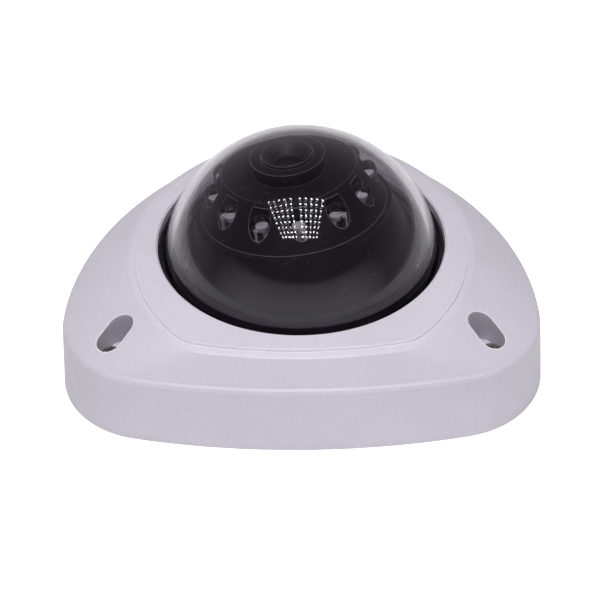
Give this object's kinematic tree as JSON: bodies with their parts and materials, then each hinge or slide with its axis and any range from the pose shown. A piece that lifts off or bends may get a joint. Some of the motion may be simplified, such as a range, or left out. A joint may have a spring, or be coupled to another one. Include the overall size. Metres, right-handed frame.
{
  "type": "dome cctv camera",
  "caption": "Low vandal-proof dome camera: rounded triangular die-cast cover, clear bubble, and a black ball head with lens and ring of infrared LEDs that pans, tilts and rolls",
  "frame": {"origin": "on the wall face of the base plate, on the dome's axis, at the centre of the circle of wall-fixing holes", "axes": "+Z out of the wall along the dome's axis, -Y towards the housing's flat front edge, +X across it"},
  "size_m": [0.1166, 0.1018, 0.0512],
  "materials": {
    "painted_cover": "satin lilac-silver powder coat with a fine speckle",
    "cast_plate": "die-cast plate with the same coat, thinner",
    "silicone": "soft translucent-grey silicone",
    "nickel_screws": "nickel-plated security screws",
    "steel_screws": "zinc-plated small screws",
    "brass": "turned brass",
    "clear_bubble": "clear polished polycarbonate",
    "black_gasket": "matte black rubber",
    "black_plastic": "fine-textured black plastic",
    "circuit_board": "green solder mask",
    "led_board_black": "black solder mask",
    "chip_black": "moulded chip package",
    "capacitor_can": "drawn aluminium can",
    "socket_nylon": "natural nylon",
    "yoke_steel": "bent steel sheet",
    "pin_steel": "turned steel pin",
    "ball_black": "satin black moulding",
    "bezel_black": "fine satin black moulding",
    "led_clear": "clear epoxy",
    "lens_black": "anodised black ring",
    "lens_glass": "coated lens glass",
    "filter_glass": "infrared cut filter"
  },
  "bodies": {
    "housing": {"base_plate": "cast_plate", "perimeter_seal": "silicone", "top_cover": "painted_cover", "cover_screws": "nickel_screws", "screw_seals": "silicone", "brass_inserts": "brass", "dome_bubble": "clear_bubble", "dome_gasket": "black_gasket", "clamp_ring": "black_plastic", "clamp_screws": "steel_screws", "cable_grommet": "black_gasket", "main_board": "circuit_board", "board_screws": "steel_screws", "video_processor": "chip_black", "network_transformer": "chip_black", "flash_memory": "chip_black", "capacitors": "capacitor_can", "harness_socket": "socket_nylon", "pan_washer": "brass", "pan_screw": "steel_screws"},
    "pan_carriage": {"turntable": "black_plastic", "tilt_yoke": "yoke_steel", "yoke_screws": "steel_screws", "pivot_pins": "pin_steel"},
    "tilt_ball": {"ball_shell": "ball_black", "pivot_bushes": "socket_nylon"},
    "camera_head": {"head_bezel": "bezel_black", "ir_leds": "led_clear", "led_board": "led_board_black", "light_sensor": "chip_black", "roll_retainer": "black_plastic", "head_screws": "steel_screws", "lens_hood": "lens_black", "lens_barrel": "lens_black", "front_lens": "lens_glass", "rear_lens": "lens_glass", "lens_holder": "black_plastic", "ir_cut_filter": "filter_glass", "sensor_board": "circuit_board", "image_sensor": "chip_black", "sensor_standoffs": "brass", "sensor_screws": "steel_screws"}
  },
  "joints": [
    {"name": "pan", "type": "hinge", "parent": "housing", "child": "pan_carriage", "pos_m": [0, 0, 0.0094], "axis": [0, 0, 1], "range_deg": [-175, 175]},
    {"name": "tilt", "type": "hinge", "parent": "pan_carriage", "child": "tilt_ball", "pos_m": [0, 0, 0.017], "axis": [-0.6428, -0.766, 0], "range_deg": [-7, 28]},
    {"name": "roll", "type": "hinge", "parent": "tilt_ball", "child": "camera_head", "pos_m": [0, 0, 0.017], "axis": [-0.0934, 0.0783, 0.9925], "range_deg": [-175, 175]}
  ]
}
